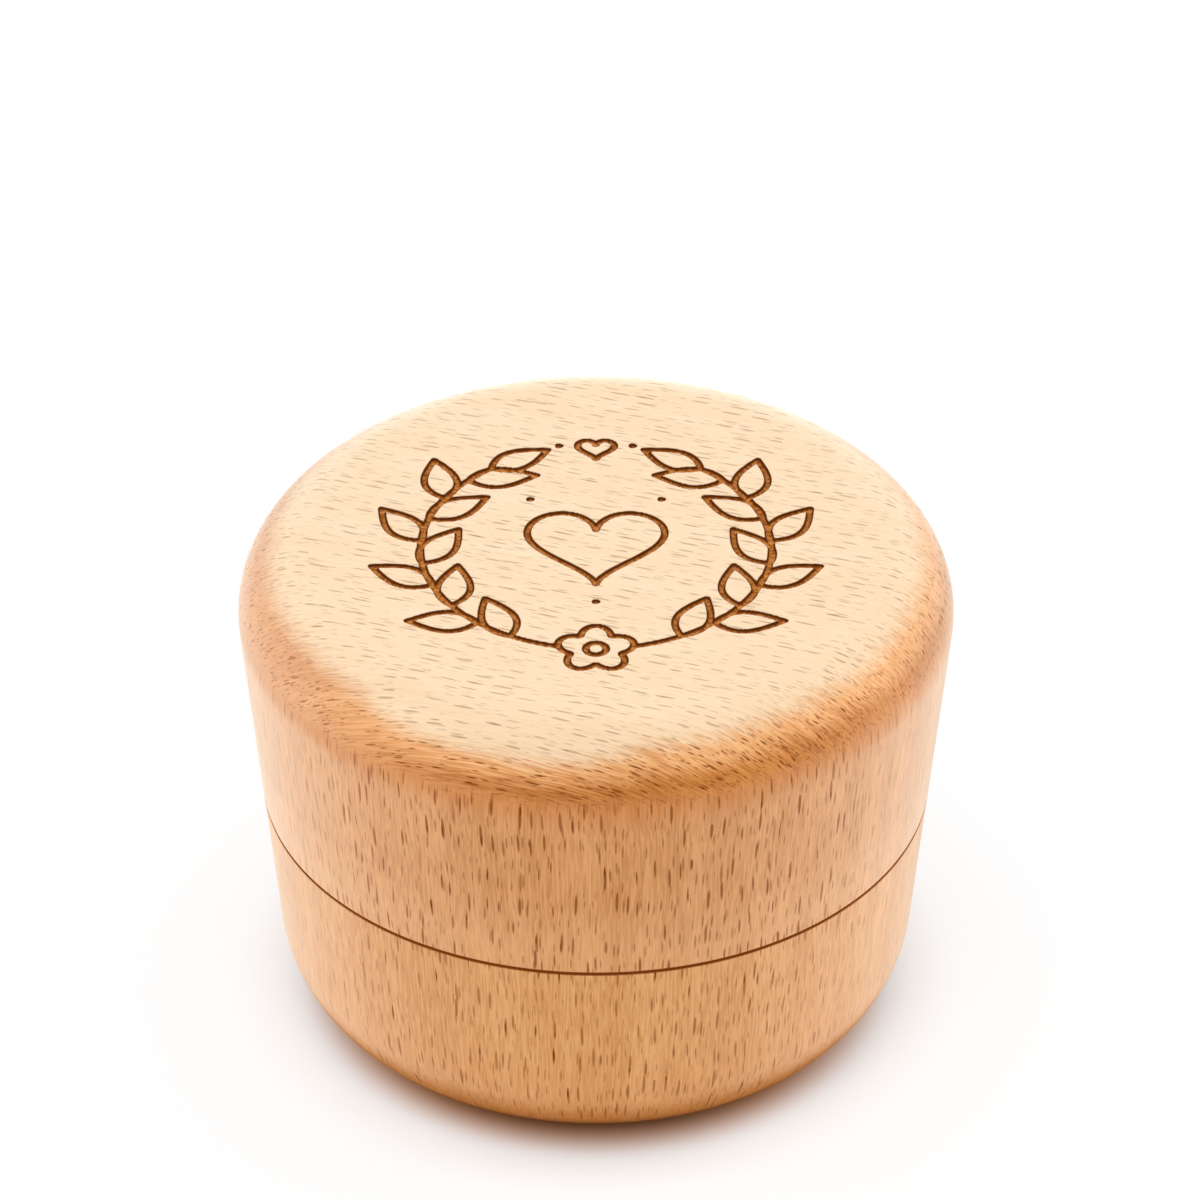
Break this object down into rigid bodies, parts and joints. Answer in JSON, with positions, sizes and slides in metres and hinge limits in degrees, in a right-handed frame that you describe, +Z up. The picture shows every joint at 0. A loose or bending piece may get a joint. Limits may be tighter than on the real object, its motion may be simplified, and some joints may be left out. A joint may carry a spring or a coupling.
{
  "type": "baby tooth box",
  "caption": "Small round turned wooden keepsake box: a base with a thin spigot round a straight-sided well, and a deep round-edged lid whose socket pushes down over the spigot onto a shoulder.",
  "frame": {"origin": "centre of the foot, on the surface that the box stands on", "axes": "+Z up along the turning axis, -Y towards the viewer"},
  "size_m": [0.05, 0.05, 0.0375],
  "materials": {
    "base_beech": "fine-sanded bare beech",
    "lid_beech": "fine-sanded bare beech"
  },
  "bodies": {
    "base": {"base": "base_beech"},
    "lid": {"lid": "lid_beech"}
  },
  "joints": [
    {"name": "lid_lift", "type": "slide", "parent": "base", "child": "lid", "axis": [0, 0, 1], "range_m": [0, 0.025]}
  ]
}
